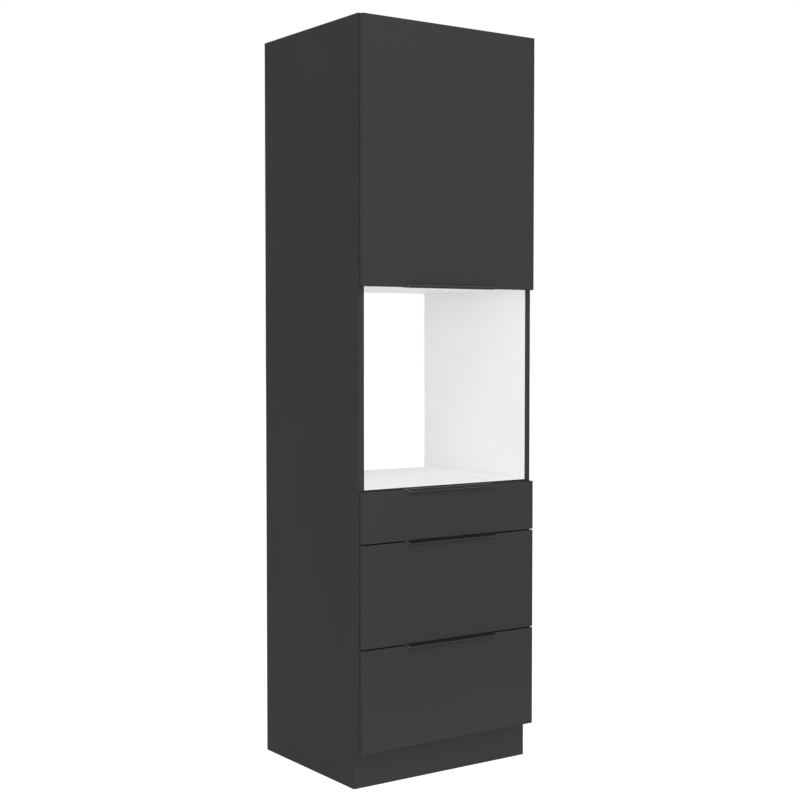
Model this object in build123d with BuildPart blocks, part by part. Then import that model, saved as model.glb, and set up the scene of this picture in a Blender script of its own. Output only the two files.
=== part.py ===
from build123d import *
import os

# Tall kitchen cabinet for a built-in oven. From the top down it has a cupboard behind one door,
# an open oven niche without a back, and a stack of three drawers over a recessed plinth.
# X runs from left to right, Y from front to back and Z up. The origin is on the floor, at the
# centre of the overall footprint, handles included. All sizes are in millimetres.

# Overall sizes of the cabinet
cabinet_width = 600.0
cabinet_height = 2108.0
carcass_depth = 504.0
board = 18.0

# Fronts: the door and the drawer fronts
front_thickness = 18.0
front_air_gap = 2.0
front_edge_radius = 1.0
side_reveal = 3.0
top_reveal = 3.0
front_gap = 3.0
bottom_reveal = 2.0
deep_front_height = 284.5
shallow_front_height = 141.0

# Plinth and oven niche
plinth_height = 103.0
plinth_recess = 25.0
plinth_thickness = 16.0
niche_floor_lip = 4.5
niche_height = 555.0
door_drop = 2.0

# Back panels in their grooves
back_thickness = 3.0
back_inset = 10.0
groove_depth = 8.0
groove_end_play = 0.5

# Wall fixing rail and its two holes
rail_height = 90.0
rail_hole_spacing = 400.0
rail_hole_radius = 3.5
rail_hole_drop = 45.0

# Adjustable shelf on four pins
shelf_thickness = 18.0
shelf_side_play = 1.0
shelf_setback = 20.0
shelf_back_play = 4.0
pin_radius = 2.5
pin_hole_depth = 9.0
pin_reach = 8.0
pin_inset = 37.0
pin_height = 350.0

# Edge pulls: one aluminium profile over an edge of each front
handle_length = 305.0
handle_thickness = 1.5
handle_reach = 11.5
handle_flat = 1.0
handle_lip_drop = 5.0
handle_flange_height = 24.0
handle_bend_radius = 1.5
handle_tip_radius = 0.6

# Drawer boxes
box_board = 16.0
box_lift = 30.0
deep_box_height = 200.0
shallow_box_height = 90.0
box_bottom_thickness = 3.0
box_bottom_inset = 10.0
box_groove_depth = 8.0

# Ball-bearing slides: outer, middle and inner member nest in this width
slide_width = 12.7
slide_length = 450.0
slide_setback = 2.0
slide_lift = 45.0
slide_steel = 1.2
slide_bend_cut = 1.4
outer_slide_height = 45.0
outer_slide_depth = 10.0
outer_slide_lip = 4.3
middle_slide_height = 34.0
middle_slide_depth = 8.4
middle_slide_web_gap = 1.2
inner_slide_height = 25.6
inner_slide_depth = 7.7
slide_slot_length = 12.0
slide_slot_width = 5.0
slide_slot_inset = 35.0

# Concealed cup hinges. The u values run from the right side panel's inner face towards the
# middle of the cabinet, and the v values from the carcass's front edge towards the back.
hinge_edge_distance = 100.0
hinge_cup_radius = 17.5
hinge_cup_play = 0.1
hinge_cup_wall = 0.9
hinge_cup_depth = 11.5
hinge_cup_edge = 5.0
hinge_flange_thickness = 1.2
hinge_flange_rim = 1.0
hinge_flange_width = 19.0
hinge_flange_height = 58.0
hinge_flange_offset = 5.5
hinge_flange_corner = 6.0
hinge_flange_screw_offset = 9.5
hinge_flange_screw_spacing = 45.0
hinge_screw_radius = 1.8
arm_pivot_u = 13.0
arm_pivot_v = 7.0
cup_pivot_u = -5.5
cup_pivot_v = -7.0
hinge_pin_radius = 1.5
hinge_pin_play = 0.05
link_bends = ((-3.4, -10.2), (2.0, -10.9), (7.0, -8.0), (11.0, -1.0))
link_width = 9.0
link_steel = 2.2
link_eye_radius = 2.5
link_bend_radius = 2.2
link_side_play = 0.3
arm_steel = 1.5
arm_nose_radius = 4.2
arm_back_v = 66.0
arm_web_u = 16.5
arm_foot_u = 5.0
arm_nose_opening_v = 16.0
plate_screw_v = 37.0
plate_screw_spacing = 32.0
plate_wing_thickness = 2.0
plate_wing_width = 16.0
plate_wing_height = 47.0
plate_wing_corner = 5.0
plate_ridge_width = 9.0
plate_ridge_length = 36.0
plate_ridge_offset = 9.0

# Bumper dots on the door's free edge
bumper_radius = 5.0
bumper_thickness = 1.9
bumper_inset = 9.0
bumper_end_distance = 60.0

# Heights of the carcass and its fronts, from the floor up
lower_front_z = plinth_height + bottom_reveal
middle_front_z = lower_front_z + deep_front_height + front_gap
upper_front_z = middle_front_z + deep_front_height + front_gap
niche_floor_z = upper_front_z + shallow_front_height + niche_floor_lip
niche_ceiling_z = niche_floor_z + niche_height
door_z = niche_ceiling_z - door_drop
door_top_z = cabinet_height - top_reveal
door_height = door_top_z - door_z
cupboard_floor_z = niche_ceiling_z + board
cupboard_top_z = cabinet_height - board
bottom_top_z = plinth_height + board

# Places across the width
half_width = cabinet_width / 2
inner_half = half_width - board
inner_width = 2 * inner_half
front_width = cabinet_width - 2 * side_reveal
box_half = inner_half - slide_width

# Places through the depth, with the footprint's centre at zero
overall_depth = handle_reach + front_thickness + front_air_gap + carcass_depth
front_face_y = handle_reach - overall_depth / 2
front_back_y = front_face_y + front_thickness
carcass_front_y = front_back_y + front_air_gap
carcass_back_y = carcass_front_y + carcass_depth
back_panel_y = carcass_back_y - back_inset - back_thickness
slide_front_y = carcass_front_y + slide_setback
slide_back_y = slide_front_y + slide_length


def y_plane(y):
    """Vertical plane across the cabinet at depth y, with X to the right and Z up."""
    return Plane.XZ.offset(-y)


def save(part, name):
    """Label a finished piece and write it as its own file."""
    part.label = name
    export_step(part, f"parts/{name}.step")


def side_panel(hand):
    """Side panel with a toe notch, stopped back grooves and pin holes. hand is -1 left, 1 right."""
    inner_x = hand * inner_half
    outer_x = hand * half_width
    with BuildPart() as panel:
        with BuildSketch(Plane.YZ.offset(min(inner_x, outer_x))):
            with BuildLine():
                Polyline(
                    (carcass_front_y, cabinet_height),
                    (carcass_back_y, cabinet_height),
                    (carcass_back_y, 0),
                    (carcass_front_y + plinth_recess, 0),
                    (carcass_front_y + plinth_recess, plinth_height),
                    (carcass_front_y, plinth_height),
                    close=True,
                )
            make_face()
        extrude(amount=board)
        with BuildSketch(Plane.YZ.offset(inner_x)):
            for z_low, z_high in ((bottom_top_z, niche_floor_z - board), (cupboard_floor_z, cupboard_top_z)):
                groove_low = z_low - groove_depth
                groove_high = z_high + groove_depth
                with Locations((back_panel_y + back_thickness / 2, (groove_low + groove_high) / 2)):
                    Rectangle(back_thickness, groove_high - groove_low)
        extrude(amount=hand * groove_depth, mode=Mode.SUBTRACT)
        with BuildSketch(Plane.YZ.offset(inner_x)):
            with Locations(*[(y, pin_z) for y in pin_rows_y]):
                Circle(pin_radius)
        extrude(amount=hand * pin_hole_depth, mode=Mode.SUBTRACT)
    return panel.part


def cross_panel(z_low, groove_face):
    """Board between the sides, with a groove for a back panel in its top or bottom face."""
    with BuildPart() as panel:
        with BuildSketch(Plane.XY.offset(z_low)):
            with Locations((0, (carcass_front_y + carcass_back_y) / 2)):
                Rectangle(inner_width, carcass_depth)
        extrude(amount=board)
        groove_z = z_low + board if groove_face == "top" else z_low
        groove_amount = -groove_depth if groove_face == "top" else groove_depth
        with BuildSketch(Plane.XY.offset(groove_z)):
            with Locations((0, back_panel_y + back_thickness / 2)):
                Rectangle(inner_width, back_thickness)
        extrude(amount=groove_amount, mode=Mode.SUBTRACT)
    return panel.part


def back_panel(z_low, z_high):
    """Thin back that stands in the groove below it, with play in the grooves beside and above it."""
    groove_reach = groove_depth - groove_end_play
    with BuildPart() as panel:
        with BuildSketch(y_plane(back_panel_y)):
            with Locations((0, (z_low - groove_depth + z_high + groove_reach) / 2)):
                Rectangle(inner_width + 2 * groove_reach, z_high - z_low + groove_depth + groove_reach)
        extrude(amount=-back_thickness)
    return panel.part


def wall_fixing_holes(mode=Mode.ADD):
    """Two holes near the top, for the screws that hold the cabinet to the wall."""
    with Locations((0, cupboard_top_z - rail_hole_drop)):
        with GridLocations(rail_hole_spacing, 0, 2, 1):
            Circle(rail_hole_radius, mode=mode)


def front_panel(z_low, height):
    """A door or drawer front with all its front edges softened."""
    with BuildPart() as panel:
        with BuildSketch(y_plane(front_face_y)):
            with Locations((0, z_low + height / 2)):
                Rectangle(front_width, height)
        extrude(amount=-front_thickness)
        fillet(panel.faces().sort_by(Axis.Y)[0].edges(), front_edge_radius)
    return panel.part


def edge_pull(edge_z, up):
    """Bent profile hooked over a front's edge. up is 1 on a top edge and -1 on a bottom edge."""
    run = handle_reach - handle_flat
    fall = handle_thickness + handle_lip_drop
    slope = (run**2 + fall**2) ** 0.5
    lip_y = handle_thickness * fall / slope
    lip_z = handle_thickness * run / slope
    flange_y = front_back_y + handle_thickness
    web_z = edge_z + up * handle_thickness
    flat_y = front_face_y - handle_flat
    tip_y = front_face_y - handle_reach
    tip_z = edge_z - up * handle_lip_drop
    inner_bend_y = flat_y + (lip_z - handle_thickness) * run / fall + lip_y
    with BuildPart() as pull:
        with BuildSketch(Plane.YZ.offset(-handle_length / 2)) as section:
            with BuildLine():
                Polyline(
                    (front_back_y, edge_z - up * handle_flange_height),
                    (flange_y, edge_z - up * handle_flange_height),
                    (flange_y, web_z),
                    (flat_y, web_z),
                    (tip_y, tip_z),
                    (tip_y + lip_y, tip_z - up * lip_z),
                    (inner_bend_y, edge_z),
                    (front_back_y, edge_z),
                    close=True,
                )
            make_face()
            tips = section.vertices().group_by(Axis.X)[0] + section.vertices().group_by(Axis.X)[1]
            fillet(tips, handle_tip_radius)
            bends = section.vertices().group_by(Axis.Y)[-1 if up > 0 else 0]
            fillet(bends, handle_bend_radius)
        extrude(amount=handle_length)
    return pull.part


def cut_corners(corners):
    """The same line with a short straight across each of its bends."""
    points = [corners[0]]
    for before, corner, after in zip(corners, corners[1:], corners[2:]):
        for neighbour in (before, after):
            towards = Vector(neighbour) - Vector(corner)
            points.append(Vector(corner) + towards.normalized() * slide_bend_cut)
    points.append(corners[-1])
    return points


def slide_member(hand, z_middle, profile, slots):
    """Rolled steel slide member. profile lists (distance from the side panel, height) pairs."""
    corners = [(hand * (inner_half - s), z_middle + z) for s, z in profile]
    with BuildPart() as member:
        with BuildSketch(y_plane(slide_front_y)):
            with BuildLine():
                Polyline(*cut_corners(corners))
            trace(line_width=slide_steel)
        extrude(amount=-slide_length)
        if slots:
            with BuildSketch(Plane.YZ):
                with Locations(
                    (slide_front_y + slide_slot_inset, z_middle),
                    (slide_back_y - slide_slot_inset, z_middle),
                ):
                    Rectangle(slide_slot_length, slide_slot_width)
            extrude(amount=hand * half_width, mode=Mode.SUBTRACT)
    return member.part


def drawer_side(hand, z_low, height):
    """Drawer side with a through groove for the bottom."""
    outer_x = hand * box_half
    inner_x = hand * (box_half - box_board)
    with BuildPart() as side:
        with BuildSketch(Plane.YZ.offset(min(outer_x, inner_x))):
            with Locations(((front_back_y + slide_back_y) / 2, z_low + height / 2)):
                Rectangle(slide_back_y - front_back_y, height)
        extrude(amount=box_board)
        with BuildSketch(Plane.YZ.offset(inner_x)):
            with Locations(
                ((front_back_y + slide_back_y) / 2, z_low + box_bottom_inset + box_bottom_thickness / 2)
            ):
                Rectangle(slide_back_y - front_back_y, box_bottom_thickness)
        extrude(amount=hand * box_groove_depth, mode=Mode.SUBTRACT)
    return side.part


def hinge_xy(u, v):
    """Plan position of a hinge point from its u and v values."""
    return (inner_half - u, carcass_front_y + v)


def hinge_cup(z_middle):
    """Cup pressed into the door, with its screw flange and the pin that the link turns on."""
    cup_u = side_reveal - board + hinge_cup_edge + hinge_cup_radius
    cup_x = hinge_xy(cup_u, 0)[0]
    outer_radius = hinge_cup_radius - hinge_cup_play
    with BuildPart() as cup:
        with BuildSketch(y_plane(front_back_y)):
            with Locations((cup_x, z_middle)):
                Circle(hinge_cup_radius + hinge_flange_rim)
            with Locations((cup_x - hinge_flange_offset, z_middle)):
                RectangleRounded(hinge_flange_width, hinge_flange_height, hinge_flange_corner)
            with Locations((cup_x - hinge_flange_screw_offset, z_middle)):
                with GridLocations(0, hinge_flange_screw_spacing, 1, 2):
                    Circle(hinge_screw_radius, mode=Mode.SUBTRACT)
        extrude(amount=-hinge_flange_thickness)
        with BuildSketch(y_plane(front_back_y)):
            with Locations((cup_x, z_middle)):
                Circle(outer_radius)
        extrude(amount=hinge_cup_depth)
        with BuildSketch(y_plane(front_back_y + hinge_flange_thickness)):
            with Locations((cup_x, z_middle)):
                Circle(outer_radius - hinge_cup_wall)
        extrude(amount=hinge_flange_thickness + hinge_cup_depth - hinge_cup_wall, mode=Mode.SUBTRACT)
        pin_offset = cup_u - cup_pivot_u + hinge_pin_radius
        pin_half = (outer_radius**2 - pin_offset**2) ** 0.5
        with BuildSketch(Plane.XY.offset(z_middle - pin_half)):
            with Locations(hinge_xy(cup_pivot_u, cup_pivot_v)):
                Circle(hinge_pin_radius)
        extrude(amount=2 * pin_half)
    return cup.part


def hinge_link(z_middle):
    """Curved link from the arm's pin, round the rim of the cup, to the cup's pin."""
    pivots = (hinge_xy(arm_pivot_u, arm_pivot_v), hinge_xy(cup_pivot_u, cup_pivot_v))
    with BuildPart() as link:
        with BuildSketch(Plane.XY.offset(z_middle - link_width / 2)):
            with BuildLine():
                FilletPolyline(
                    hinge_xy(cup_pivot_u, cup_pivot_v),
                    *[hinge_xy(u, v) for u, v in link_bends],
                    hinge_xy(arm_pivot_u, arm_pivot_v),
                    radius=link_bend_radius,
                )
            trace(line_width=link_steel)
            with Locations(*pivots):
                Circle(link_eye_radius)
                Circle(hinge_pin_radius + hinge_pin_play, mode=Mode.SUBTRACT)
        extrude(amount=link_width)
    return link.part


def hinge_arm(z_middle):
    """Pressed channel that clips over the mounting plate and holds the fixed pin in its nose."""
    inner_width = link_width + 2 * link_side_play
    outer_width = inner_width + 2 * arm_steel
    arm_back_u = arm_web_u + arm_steel
    with BuildPart() as arm:
        with BuildSketch(Plane.XY.offset(z_middle - outer_width / 2)):
            with BuildLine():
                Polyline(
                    hinge_xy(arm_pivot_u - arm_nose_radius, arm_pivot_v),
                    hinge_xy(arm_pivot_u + arm_nose_radius, arm_pivot_v),
                    hinge_xy(arm_back_u, arm_nose_opening_v),
                    hinge_xy(arm_back_u, arm_back_v),
                    hinge_xy(arm_foot_u, arm_back_v),
                    close=True,
                )
            make_face()
            with Locations(hinge_xy(arm_pivot_u, arm_pivot_v)):
                Circle(arm_nose_radius)
        extrude(amount=outer_width)
        with BuildSketch(Plane.XY.offset(z_middle - inner_width / 2)):
            with BuildLine():
                Polyline(
                    hinge_xy(0, 0),
                    hinge_xy(arm_back_u + arm_steel, 0),
                    hinge_xy(arm_back_u + arm_steel, arm_nose_opening_v),
                    hinge_xy(arm_web_u, arm_nose_opening_v),
                    hinge_xy(arm_web_u, arm_back_v + arm_steel),
                    hinge_xy(0, arm_back_v + arm_steel),
                    close=True,
                )
            make_face()
        extrude(amount=inner_width, mode=Mode.SUBTRACT)
        with BuildSketch(Plane.XY.offset(z_middle - outer_width / 2)):
            with Locations(hinge_xy(arm_pivot_u, arm_pivot_v)):
                Circle(hinge_pin_radius)
        extrude(amount=outer_width)
    return arm.part


def hinge_plate(z_middle):
    """Winged mounting plate on the side panel, with the ridge that carries the arm."""
    wing_y = carcass_front_y + plate_screw_v
    with BuildPart() as plate:
        with BuildSketch(Plane.YZ.offset(inner_half)):
            with Locations((wing_y, z_middle)):
                RectangleRounded(plate_wing_width, plate_wing_height, plate_wing_corner)
            with Locations((wing_y, z_middle)):
                with GridLocations(0, plate_screw_spacing, 1, 2):
                    Circle(hinge_screw_radius, mode=Mode.SUBTRACT)
        extrude(amount=-plate_wing_thickness)
        with BuildSketch(Plane.YZ.offset(inner_half)):
            with Locations((wing_y + plate_ridge_offset, z_middle)):
                Rectangle(plate_ridge_length, plate_ridge_width)
        extrude(amount=-arm_web_u)
    return plate.part


os.makedirs("parts", exist_ok=True)

# Carcass
pin_rows_y = (carcass_front_y + pin_inset, back_panel_y - pin_inset)
pin_z = cupboard_floor_z + pin_height

for hand, hand_name in ((-1, "left"), (1, "right")):
    save(side_panel(hand), f"{hand_name}_side_panel")

save(cross_panel(cupboard_top_z, "bottom"), "top_panel")
save(cross_panel(niche_ceiling_z, "top"), "niche_ceiling_panel")
save(cross_panel(niche_floor_z - board, "bottom"), "niche_floor_panel")
save(cross_panel(plinth_height, "top"), "bottom_panel")
save(back_panel(bottom_top_z, niche_floor_z - board), "lower_back_panel")

with BuildPart() as upper_back_panel:
    add(back_panel(cupboard_floor_z, cupboard_top_z))
    with BuildSketch(y_plane(back_panel_y)):
        wall_fixing_holes()
    extrude(amount=-back_thickness, mode=Mode.SUBTRACT)
save(upper_back_panel.part, "upper_back_panel")

with BuildPart() as plinth_board:
    with BuildSketch(y_plane(carcass_front_y + plinth_recess)):
        with Locations((0, plinth_height / 2)):
            Rectangle(inner_width, plinth_height)
    extrude(amount=-plinth_thickness)
save(plinth_board.part, "plinth_board")

with BuildPart() as wall_fixing_rail:
    with BuildSketch(y_plane(back_panel_y - board)):
        with Locations((0, cupboard_top_z - rail_height / 2)):
            Rectangle(inner_width, rail_height)
        wall_fixing_holes(Mode.SUBTRACT)
    extrude(amount=-board)
save(wall_fixing_rail.part, "wall_fixing_rail")

shelf_z = pin_z + pin_radius
with BuildPart() as adjustable_shelf:
    with BuildSketch(Plane.XY.offset(shelf_z)):
        shelf_front_y = carcass_front_y + shelf_setback
        shelf_back_y = back_panel_y - shelf_back_play
        with Locations((0, (shelf_front_y + shelf_back_y) / 2)):
            Rectangle(inner_width - 2 * shelf_side_play, shelf_back_y - shelf_front_y)
    extrude(amount=shelf_thickness)
save(adjustable_shelf.part, "adjustable_shelf")

with BuildPart() as shelf_pins:
    for hand in (-1, 1):
        with BuildSketch(Plane.YZ.offset(hand * (inner_half + pin_hole_depth))):
            with Locations(*[(y, pin_z) for y in pin_rows_y]):
                Circle(pin_radius)
        extrude(amount=-hand * (pin_hole_depth + pin_reach))
save(shelf_pins.part, "shelf_pins")

# Door with its pull, bumpers and hinges
hinge_heights = {
    "lower": door_z + hinge_edge_distance,
    "upper": door_top_z - hinge_edge_distance,
}
cup_centre_x = inner_half - (side_reveal - board + hinge_cup_edge + hinge_cup_radius)

with BuildPart() as door_panel:
    add(front_panel(door_z, door_height))
    with BuildSketch(y_plane(front_back_y)):
        with Locations(*[(cup_centre_x, z) for z in hinge_heights.values()]):
            Circle(hinge_cup_radius)
    extrude(amount=hinge_cup_depth + hinge_cup_play, mode=Mode.SUBTRACT)
save(door_panel.part, "door_panel")
save(edge_pull(door_z, -1), "door_handle")

with BuildPart() as door_bumpers:
    with BuildSketch(y_plane(front_back_y)):
        with Locations(
            (bumper_inset - front_width / 2, door_z + bumper_end_distance),
            (bumper_inset - front_width / 2, door_top_z - bumper_end_distance),
        ):
            Circle(bumper_radius)
    extrude(amount=-bumper_thickness)
save(door_bumpers.part, "door_bumpers")

for place, hinge_z in hinge_heights.items():
    save(hinge_cup(hinge_z), f"{place}_hinge_cup")
    save(hinge_link(hinge_z), f"{place}_hinge_link")
    save(hinge_arm(hinge_z), f"{place}_hinge_arm")
    save(hinge_plate(hinge_z), f"{place}_hinge_plate")

# Drawers: height of the front, its lower edge and the height of the box sides
drawers = {
    "lower": (lower_front_z, deep_front_height, deep_box_height),
    "middle": (middle_front_z, deep_front_height, deep_box_height),
    "upper": (upper_front_z, shallow_front_height, shallow_box_height),
}

# Slide profiles, as distance from the side panel and height above the slide's centre line
half_steel = slide_steel / 2
outer_top = outer_slide_height / 2 - half_steel
outer_profile = [
    (outer_slide_depth - half_steel, outer_top + half_steel - outer_slide_lip),
    (outer_slide_depth - half_steel, outer_top),
    (half_steel, outer_top),
    (half_steel, -outer_top),
    (outer_slide_depth - half_steel, -outer_top),
    (outer_slide_depth - half_steel, outer_slide_lip - half_steel - outer_top),
]
middle_top = middle_slide_height / 2 - half_steel
middle_web = slide_steel + middle_slide_web_gap + half_steel
middle_profile = [
    (middle_web + middle_slide_depth - half_steel, middle_top),
    (middle_web, middle_top),
    (middle_web, -middle_top),
    (middle_web + middle_slide_depth - half_steel, -middle_top),
]
inner_top = inner_slide_height / 2 - half_steel
inner_web = slide_width - half_steel
inner_profile = [
    (slide_width - inner_slide_depth, inner_top),
    (inner_web, inner_top),
    (inner_web, -inner_top),
    (slide_width - inner_slide_depth, -inner_top),
]

for place, (front_z, front_height, box_height) in drawers.items():
    box_z = front_z + box_lift
    bottom_z = box_z + box_bottom_inset
    back_z = bottom_z + box_bottom_thickness
    inside_half = box_half - box_board
    save(front_panel(front_z, front_height), f"{place}_drawer_front")
    save(edge_pull(front_z + front_height, 1), f"{place}_drawer_handle")
    for hand, hand_name in ((-1, "left"), (1, "right")):
        save(drawer_side(hand, box_z, box_height), f"{place}_drawer_{hand_name}_side")
        slide_z = box_z + slide_lift
        save(slide_member(hand, slide_z, outer_profile, True), f"{place}_drawer_{hand_name}_outer_slide")
        save(slide_member(hand, slide_z, middle_profile, False), f"{place}_drawer_{hand_name}_middle_slide")
        save(slide_member(hand, slide_z, inner_profile, False), f"{place}_drawer_{hand_name}_inner_slide")

    with BuildPart() as drawer_back:
        with BuildSketch(y_plane(slide_back_y - box_board)):
            with Locations((0, (back_z + box_z + box_height) / 2)):
                Rectangle(2 * inside_half, box_z + box_height - back_z)
        extrude(amount=-box_board)
    save(drawer_back.part, f"{place}_drawer_back")

    with BuildPart() as drawer_bottom:
        with BuildSketch(Plane.XY.offset(bottom_z)):
            with Locations((0, (front_back_y + slide_back_y) / 2)):
                Rectangle(
                    2 * (inside_half + box_groove_depth - groove_end_play),
                    slide_back_y - front_back_y,
                )
        extrude(amount=box_bottom_thickness)
    save(drawer_bottom.part, f"{place}_drawer_bottom")
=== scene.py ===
# %% [markdown]
# # A tall oven cabinet
#
# The object is a kitchen cabinet of standard width for a built-in oven. It has a cupboard behind
# one door at the top, an open niche for the oven in the middle and three drawers under it. The
# construction comes from the CAD model, so this lesson is about finishes and fittings: graphite and
# white boards, black pulls, plated steel, and the small screws and bearings that make it real. All
# sizes are in metres.

# %% Load the model
import math

import bmesh
import bpy
from mathutils import Matrix, Vector


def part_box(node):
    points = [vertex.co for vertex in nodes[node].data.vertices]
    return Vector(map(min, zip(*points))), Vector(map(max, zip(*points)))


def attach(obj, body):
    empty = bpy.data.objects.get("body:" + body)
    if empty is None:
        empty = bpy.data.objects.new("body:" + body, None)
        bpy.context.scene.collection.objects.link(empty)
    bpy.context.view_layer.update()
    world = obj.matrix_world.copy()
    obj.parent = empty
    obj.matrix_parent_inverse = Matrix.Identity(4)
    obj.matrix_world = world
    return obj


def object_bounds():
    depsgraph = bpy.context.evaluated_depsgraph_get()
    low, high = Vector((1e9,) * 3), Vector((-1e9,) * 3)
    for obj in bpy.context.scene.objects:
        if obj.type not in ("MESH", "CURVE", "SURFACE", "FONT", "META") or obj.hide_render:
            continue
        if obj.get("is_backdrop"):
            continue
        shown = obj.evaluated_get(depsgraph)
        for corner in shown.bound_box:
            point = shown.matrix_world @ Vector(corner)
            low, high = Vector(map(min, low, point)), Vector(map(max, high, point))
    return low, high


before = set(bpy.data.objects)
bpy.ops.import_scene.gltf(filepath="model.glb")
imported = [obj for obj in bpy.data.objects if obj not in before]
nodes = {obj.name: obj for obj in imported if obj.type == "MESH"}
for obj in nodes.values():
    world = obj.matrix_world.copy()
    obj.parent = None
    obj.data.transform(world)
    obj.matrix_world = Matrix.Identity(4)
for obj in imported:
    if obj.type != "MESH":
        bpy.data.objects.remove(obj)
cad_low, cad_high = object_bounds()
print("pieces in the model:", len(nodes), "size in metres:", [round(v, 4) for v in cad_high - cad_low])

# %% [markdown]
# ## Camera
#
# The photograph looks at the cabinet from the left and a little down, with a long lens from more
# than four metres away. A camera can be placed by eye, but here its place, turn and lens were worked
# out from the cabinet's corners, so that edges in the render fall on the edges in the photograph.

# %% Camera
photo_width = 800
focal_pixels = 1468.7
camera_place = Vector((-2.4714, -3.5548, 1.2390))
camera_turn = math.radians(-34.817)
camera_tilt = math.radians(-2.418)

camera_data = bpy.data.cameras.new("photo_camera")
camera_data.lens = focal_pixels / photo_width * camera_data.sensor_width
camera = bpy.data.objects.new("photo_camera", camera_data)
camera.location = camera_place
camera.rotation_euler = (math.pi / 2 + camera_tilt, 0, camera_turn)
bpy.context.scene.collection.objects.link(camera)
bpy.context.scene.camera = camera
print("lens in millimetres:", round(camera_data.lens, 2))

# %% [markdown]
# ## Building materials from nodes
#
# A material in Blender is a small network of nodes. They could be added one by one in the editor,
# but written out in full they would hide the finish behind bookkeeping. So one helper makes a
# material and hands over its main shader, and another adds a node and fills its inputs.

# %% Start a material and add nodes
def start_finish(name, roughness, metallic=0.0):
    """A new material, its node tree and its main shader."""
    material = bpy.data.materials.new(name)
    material.use_nodes = True
    tree = material.node_tree
    shader = tree.nodes["Principled BSDF"]
    shader.inputs["Roughness"].default_value = roughness
    shader.inputs["Metallic"].default_value = metallic
    return material, tree, shader


def add_node(tree, kind, inputs=None, **settings):
    """Adds a node. An input is a number, a colour or the socket that feeds it."""
    node = tree.nodes.new("ShaderNode" + kind)
    for name, value in settings.items():
        setattr(node, name, value)
    for key, value in (inputs or {}).items():
        if isinstance(value, bpy.types.NodeSocket):
            tree.links.new(value, node.inputs[key])
        else:
            node.inputs[key].default_value = value
    return node


print("materials before the first finish:", len(bpy.data.materials))

# %% [markdown]
# ## Arithmetic and colours
#
# Two nodes do most of the deciding. Math works out a share between 0 and 1, and Mix blends two
# colours by that share. The colours are chosen as they look on a screen, because that is how a
# photograph shows them, and are then turned into the linear light that nodes work in.

# %% Arithmetic and colours
def calculate(tree, operation, first, second):
    """The result of one Math node."""
    return add_node(tree, "Math", {0: first, 1: second}, operation=operation).outputs[0]


def opposite(tree, share):
    """1 where the share is 0, and 0 where it is 1."""
    return calculate(tree, "SUBTRACT", 1.0, share)


def mix_colours(tree, share, first, second):
    """First colour where share is 0, second colour where it is 1."""
    node = add_node(tree, "Mix", {0: share, 6: first, 7: second}, data_type="RGBA")
    return node.outputs[2]


def grey(level, warmth=0.0):
    """A grey as a screen shows it, from 0 to 255, in linear light by the screens' own formula."""
    channels = (level + warmth, level, level - warmth)
    return tuple(((c / 255 + 0.055) / 1.055) ** 2.4 for c in channels) + (1.0,)


print("middle grey, 128 on a screen, in linear light:", round(grey(128)[1], 3))

# %% [markdown]
# ## Patterns that stay on the piece
#
# Real finishes are never quite even. An image could show that, but it would have to be wrapped round
# each piece. Noise needs no wrapping: it is worked out from the piece's own coordinates, so it stays
# on the piece when a drawer slides or the door turns. Its value keeps close to a half, so a helper
# stretches it to the range that a colour or a roughness needs.

# %% Noise and bump
noise_low = 0.3
noise_high = 0.7


def surface_noise(tree, scale, detail, stretch=(1, 1, 1)):
    """Noise over the piece's own coordinates. scale is in waves per metre."""
    place = add_node(tree, "TexCoord").outputs["Object"]
    stretched = add_node(tree, "Mapping", {"Vector": place, "Scale": stretch}).outputs[0]
    inputs = {"Vector": stretched, "Scale": scale, "Detail": detail}
    return add_node(tree, "TexNoise", inputs).outputs[0]


def spread(tree, value, low=0.0, high=1.0):
    """Stretches a noise value to run from low to high."""
    limits = {"Value": value, "From Min": noise_low, "From Max": noise_high, "To Min": low, "To Max": high}
    return add_node(tree, "MapRange", limits).outputs[0]


def set_bump(tree, shader, height, depth, strength):
    """Feeds a height pattern into the shader. depth is in metres."""
    bump = add_node(tree, "Bump", {"Height": height, "Distance": depth, "Strength": strength})
    tree.links.new(bump.outputs[0], shader.inputs["Normal"])


print("noise is stretched from the range", noise_low, "to", noise_high)

# %% [markdown]
# ## Coated boards
#
# The cabinet is made of chipboard with a hard printed coating, graphite outside and white inside. A
# photograph of a board could be tiled over it, but the tiles would show. Instead a broad noise lets
# the tone drift by a level or two of grey, and a very fine one speckles it.

# %% Coating colours
graphite_level = 53
white_level = 248
tone_sway = 1.0
drift_share = 0.6
pearl_share = 0.4
pearl_scale = 1400.0


def coating_tone(tree, level, warmth=0.0):
    """Colour of a coated board: its grey with a slow drift and a fine pearl speckle."""
    drift = spread(tree, surface_noise(tree, scale=2.3, detail=3.0))
    pearl = spread(tree, surface_noise(tree, scale=pearl_scale, detail=1.0))
    drift_part = calculate(tree, "MULTIPLY", drift, drift_share)
    pearl_part = calculate(tree, "MULTIPLY", pearl, pearl_share)
    share = calculate(tree, "ADD", drift_part, pearl_part)
    return mix_colours(tree, share, grey(level - tone_sway, warmth), grey(level + tone_sway, warmth))


print("board colours:", grey(graphite_level)[:3], grey(white_level)[:3])
print("one grain of pearl in millimetres:", round(1000 / pearl_scale, 2))

# %% [markdown]
# ## Gloss and pearl of the coating
#
# Such a coating is pressed against a steel plate with a fine pearl texture. It is much too fine to
# model, so a fine noise draws it in the bump, and a broad one lets the gloss drift a little.

# %% Coating surface
coating_reflection = 0.04
pearl_depth = 0.00004


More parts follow.
